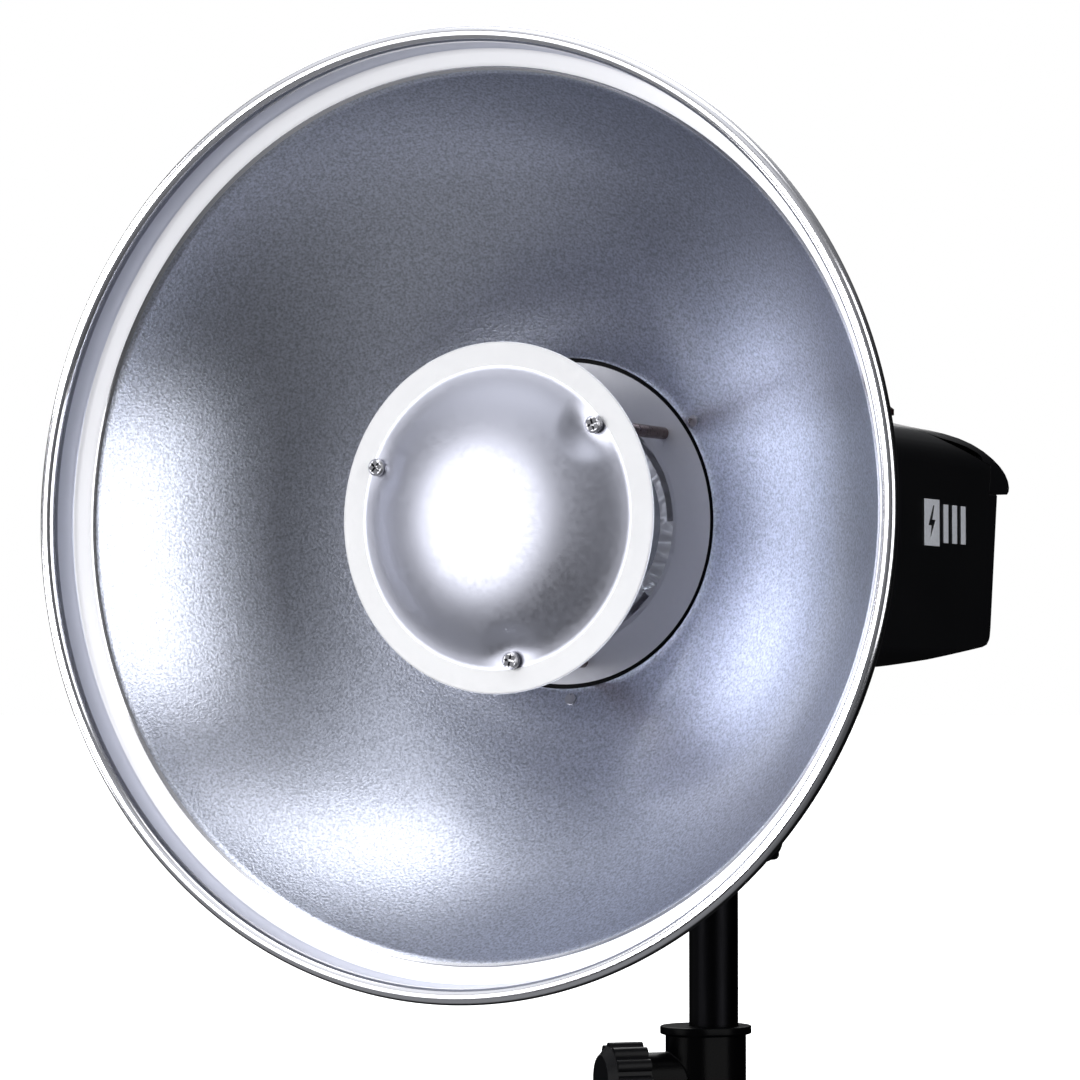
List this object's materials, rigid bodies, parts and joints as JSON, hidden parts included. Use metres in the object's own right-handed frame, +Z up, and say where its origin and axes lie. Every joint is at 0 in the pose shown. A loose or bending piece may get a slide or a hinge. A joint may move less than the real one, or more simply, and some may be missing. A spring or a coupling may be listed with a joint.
{
  "type": "studio flash head with beauty dish",
  "caption": "Mains studio flash head with a silver beauty dish and round deflector, on a tilting bracket and the top section of its light stand.",
  "frame": {"origin": "centre of the mouth of the socket in the collar's underside, where the lower stand tube goes in", "axes": "+Z up along the stand's post; the dish faces -Y at rest; +X is to the right as seen from in front of the dish looking along +Y"},
  "size_m": [0.4199, 0.5155, 0.524],
  "materials": {
    "stand_black": "moulded black, slightly rough",
    "grip_black": "ribbed black grip",
    "riser_black": "black anodised tube",
    "cast_black": "black painted casting",
    "steel": "bright turned steel",
    "brass": "plain",
    "fibre_red": "pressed fibre",
    "case_black": "satin black moulding",
    "ring_metal": "turned, satin",
    "badge": "pale printed label",
    "pan_white": "bright spun",
    "quartz": "clear",
    "ceramic": "glazed white",
    "lamp_frost": "frosted",
    "dome_glass": "clear",
    "chassis_metal": "bare sheet",
    "cap_blue": "sleeved",
    "board_green": "lacquered board",
    "core_steel": "laminated core, varnished",
    "fan_black": "moulded",
    "fascia_grey": "dark label",
    "display_red": "smoked window",
    "dial_black": "ribbed knob",
    "key_red": "moulded key",
    "key_grey": "moulded key",
    "rocker_red": "translucent rocker",
    "inlet_black": "moulded",
    "pin_nickel": "nickel plated",
    "sensor_dark": "dark red window",
    "latch_red": "moulded key",
    "dish_silver": "fine hammered silver",
    "satin_alloy": "satin turned ring",
    "rod_metal": "turned rod",
    "deflector_silver": "smooth white silver",
    "screw_metal": "bright"
  },
  "bodies": {
    "collar": {"collar_body": "stand_black", "brake_pad": "brass"},
    "collar_knob": {"lock_knob": "grip_black", "lock_stud": "steel"},
    "riser": {"riser_tube": "riser_black", "riser_plug": "stand_black", "spigot": "steel"},
    "bracket": {"stand_socket": "cast_black", "tilt_washers": "fibre_red"},
    "clamp_knob": {"socket_knob": "grip_black", "socket_stud": "steel"},
    "head": {"foot_bracket": "cast_black", "pivot_bolt": "steel", "front_ring": "ring_metal", "ring_screws": "screw_metal", "front_frame": "case_black", "case_shell": "case_black", "case_screws": "screw_metal", "side_badge": "badge", "reflector_pan": "pan_white", "flash_tube": "quartz", "lamp_socket": "ceramic", "model_lamp": "lamp_frost", "glass_dome": "dome_glass", "chassis": "chassis_metal", "capacitors": "cap_blue", "main_board": "board_green", "transformer": "core_steel", "fan_frame": "fan_black", "rear_panel": "case_black", "handle": "case_black", "fascia": "fascia_grey", "display": "display_red", "mains_inlet": "inlet_black", "inlet_pins": "pin_nickel", "sync_jack": "pin_nickel", "slave_sensor": "sensor_dark"},
    "lever": {"tilt_lever": "stand_black"},
    "shaft_screw": {"umbrella_screw": "steel"},
    "fan": {"fan_rotor": "fan_black"},
    "latch": {"latch_slide": "latch_red"},
    "left_dial": {"power_dial": "dial_black"},
    "right_dial": {"lamp_dial": "dial_black"},
    "test_key": {"test_button": "key_red"},
    "mode_key": {"mode_button": "key_grey"},
    "slave_key": {"slave_button": "key_grey"},
    "rocker": {"power_rocker": "rocker_red"},
    "fuse_holder": {"fuse_cap": "inlet_black"},
    "dish": {"dish_bowl": "dish_silver", "ring_rivets": "screw_metal", "mount_ring": "satin_alloy", "spacer_rods": "rod_metal", "rod_nuts": "screw_metal", "deflector": "deflector_silver", "deflector_screws": "screw_metal"}
  },
  "joints": [
    {"name": "collar_knob_turn", "type": "hinge", "parent": "collar", "child": "collar_knob", "pos_m": [-0.02616, -0.02616, 0.05], "axis": [-0.7071, -0.7071, 0], "range_deg": [0, 270]},
    {"name": "riser_slide", "type": "slide", "parent": "collar", "child": "riser", "axis": [0, 0, 1], "range_m": [0, 0.03]},
    {"name": "head_turn", "type": "hinge", "parent": "riser", "child": "bracket", "pos_m": [0, 0, 0.164], "axis": [0, 0, 1], "continuous": true},
    {"name": "clamp_knob_turn", "type": "hinge", "parent": "bracket", "child": "clamp_knob", "pos_m": [0, 0.03, 0.1645], "axis": [0, 1, 0], "range_deg": [0, 270]},
    {"name": "head_tilt", "type": "hinge", "parent": "bracket", "child": "head", "pos_m": [0, 0, 0.219], "axis": [-1, 0, 0], "range_deg": [-45, 60]},
    {"name": "lever_swing", "type": "hinge", "parent": "head", "child": "lever", "pos_m": [0.03, 0, 0.219], "axis": [1, 0, 0], "range_deg": [-60, 40]},
    {"name": "shaft_screw_turn", "type": "hinge", "parent": "head", "child": "shaft_screw", "pos_m": [0.03, 0.024, 0.24275], "axis": [1, 0, 0], "range_deg": [0, 270]},
    {"name": "fan_spin", "type": "hinge", "parent": "head", "child": "fan", "pos_m": [0, -0.1036, 0.31], "axis": [0, -1, 0], "continuous": true},
    {"name": "latch_press", "type": "slide", "parent": "head", "child": "latch", "axis": [0, 1, 0], "range_m": [0, 0.003], "stiffness_N_per_m": 200},
    {"name": "power_dial_turn", "type": "hinge", "parent": "head", "child": "left_dial", "pos_m": [-0.026, 0.2251, 0.32291], "axis": [0, 0.9895, -0.1444], "range_deg": [0, 270]},
    {"name": "lamp_dial_turn", "type": "hinge", "parent": "head", "child": "right_dial", "pos_m": [0.026, 0.2251, 0.32291], "axis": [0, 0.9895, -0.1444], "range_deg": [0, 270]},
    {"name": "test_press", "type": "slide", "parent": "head", "child": "test_key", "axis": [0, -0.9895, 0.1444], "range_m": [0, 0.0015], "stiffness_N_per_m": 400},
    {"name": "mode_press", "type": "slide", "parent": "head", "child": "mode_key", "axis": [0, -0.9895, 0.1444], "range_m": [0, 0.0015], "stiffness_N_per_m": 400},
    {"name": "slave_press", "type": "slide", "parent": "head", "child": "slave_key", "axis": [0, -0.9895, 0.1444], "range_m": [0, 0.0015], "stiffness_N_per_m": 400},
    {"name": "rocker_flip", "type": "hinge", "parent": "head", "child": "rocker", "pos_m": [-0.033, 0.2165, 0.28475], "axis": [1, 0, 0], "range_deg": [0, 15]},
    {"name": "fuse_cap_turn", "type": "hinge", "parent": "head", "child": "fuse_holder", "pos_m": [-0.008, 0.21904, 0.28135], "axis": [0, 0.9895, -0.1444], "range_deg": [0, 90]},
    {"name": "dish_turn", "type": "hinge", "parent": "head", "child": "dish", "pos_m": [0, -0.147, 0.314], "axis": [0, -1, 0], "range_deg": [0, 60]}
  ]
}
